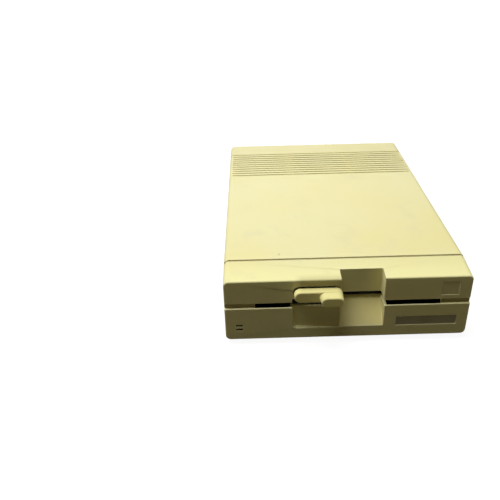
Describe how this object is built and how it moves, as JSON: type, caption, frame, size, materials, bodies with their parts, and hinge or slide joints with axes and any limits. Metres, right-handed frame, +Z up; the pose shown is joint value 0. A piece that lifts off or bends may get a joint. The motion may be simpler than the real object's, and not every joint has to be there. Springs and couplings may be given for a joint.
{
  "type": "external floppy disk drive",
  "caption": "Low plastic desktop drive with a full-width disk slot, finger notch, clamping lever, ribbed lid vents and round sockets at the back.",
  "frame": {"origin": "on the surface the drive stands on, under the middle of its bounding box, lever included", "axes": "+Z up, -Y towards the slot and lever at the front, +X to the right seen from the front"},
  "size_m": [0.184, 0.2662, 0.061],
  "materials": {
    "case_plastic": "satin, slightly grained",
    "lever_plastic": "satin",
    "foot_rubber": "matte",
    "dark_plate": "satin",
    "badge_plastic": "satin",
    "red_lamp": "clear tinted",
    "green_lamp": "clear tinted",
    "black_plastic": "satin",
    "white_plastic": "satin",
    "steel": "bright zinc",
    "zinc_sheet": "zinc-plated sheet",
    "aluminium": "as cast",
    "circuit_board": "glass-fibre laminate",
    "chip_plastic": "moulded epoxy",
    "copper": "enamelled copper wire",
    "ribbon": "flat cable"
  },
  "bodies": {
    "case": {"badge_plate": "badge_plastic", "board_chips": "chip_plastic", "board_parts": "chip_plastic", "board_screws": "steel", "bottom_shell": "case_plastic", "cable_headers": "black_plastic", "case_screws": "steel", "chassis": "aluminium", "clamp_pin": "steel", "clamp_spring": "steel", "disk_guide_left": "black_plastic", "disk_guide_right": "black_plastic", "drive_led": "red_lamp", "foot_front_left": "foot_rubber", "foot_front_right": "foot_rubber", "foot_rear_left": "foot_rubber", "foot_rear_right": "foot_rubber", "guide_rod_left": "steel", "guide_rod_right": "steel", "index_sensor": "black_plastic", "lamp_board": "circuit_board", "logic_board": "circuit_board", "mechanism_board": "circuit_board", "mechanism_chips": "chip_plastic", "mechanism_screws": "steel", "motor_board": "circuit_board", "motor_coils": "copper", "nameplate": "dark_plate", "power_inlet": "black_plastic", "power_led": "green_lamp", "power_switch": "black_plastic", "ribbon_cable": "ribbon", "selector_switch": "black_plastic", "serial_socket_a": "black_plastic", "serial_socket_b": "black_plastic", "shield_plate": "zinc_sheet", "slot_bezel": "black_plastic", "socket_inserts": "black_plastic", "spindle_bearing": "steel", "stepper_motor": "zinc_sheet", "top_cover": "case_plastic", "track_zero_sensor": "black_plastic", "write_protect_sensor": "black_plastic"},
    "lever_set": {"lever": "lever_plastic", "lever_shaft": "steel"},
    "clamp_arm_set": {"clamp_arm": "zinc_sheet"},
    "clamp_hub_set": {"clamp_hub": "black_plastic"},
    "spindle_set": {"spindle": "aluminium", "motor_rotor": "zinc_sheet"},
    "carriage": {"head_carriage": "white_plastic", "lower_head": "aluminium", "head_arm_pin": "steel", "band_strip": "steel"},
    "head_arm_set": {"head_arm": "white_plastic", "upper_head": "white_plastic"},
    "stepper_rotor": {"stepper_pulley": "steel", "band_wrap": "steel"},
    "rocker": {"power_rocker": "black_plastic"},
    "slider_1": {"selector_slider_1": "white_plastic"},
    "slider_2": {"selector_slider_2": "white_plastic"}
  },
  "joints": [
    {"name": "lever_turn", "type": "hinge", "parent": "case", "child": "lever_set", "pos_m": [-0.0353, -0.12285, 0.0466], "axis": [0, 1, 0], "range_deg": [0, 90]},
    {"name": "clamp_arm_hinge", "type": "hinge", "parent": "case", "child": "clamp_arm_set", "pos_m": [0.0006, 0.08915, 0.046], "axis": [1, 0, 0], "range_deg": [0, 1.68]},
    {"name": "clamp_hub_spin", "type": "hinge", "parent": "clamp_arm_set", "child": "clamp_hub_set", "pos_m": [0.0006, -0.04685, 0.05], "axis": [0, 0, 1], "continuous": true},
    {"name": "spindle_spin", "type": "hinge", "parent": "case", "child": "spindle_set", "pos_m": [0.0006, -0.04685, 0.03], "axis": [0, 0, 1], "continuous": true},
    {"name": "carriage_slide", "type": "slide", "parent": "case", "child": "carriage", "axis": [0, -1, 0], "range_m": [0, 0.02064]},
    {"name": "stepper_turn", "type": "hinge", "parent": "case", "child": "stepper_rotor", "pos_m": [0.02982, 0.06315, 0.035], "axis": [0, 0, 1], "range_deg": [0, 141]},
    {"name": "head_arm_hinge", "type": "hinge", "parent": "carriage", "child": "head_arm_set", "pos_m": [0.0006, 0.0423, 0.043], "axis": [1, 0, 0], "range_deg": [0, 4.21]},
    {"name": "power_rocker_turn", "type": "hinge", "parent": "case", "child": "rocker", "pos_m": [0.07, 0.12775, 0.0201], "axis": [1, 0, 0], "range_deg": [0, 22]},
    {"name": "selector_1_slide", "type": "slide", "parent": "case", "child": "slider_1", "axis": [0, 0, 1], "range_m": [0, 0.0022]},
    {"name": "selector_2_slide", "type": "slide", "parent": "case", "child": "slider_2", "axis": [0, 0, 1], "range_m": [0, 0.0022]}
  ],
  "couplings": [
    {"joint": "clamp_arm_hinge", "follows": "lever_turn", "ratio": 0.018556},
    {"joint": "head_arm_hinge", "follows": "lever_turn", "ratio": 0.046667},
    {"joint": "clamp_hub_spin", "follows": "spindle_spin", "ratio": 1},
    {"joint": "stepper_turn", "follows": "carriage_slide", "rad_per_m": 118.76}
  ]
}
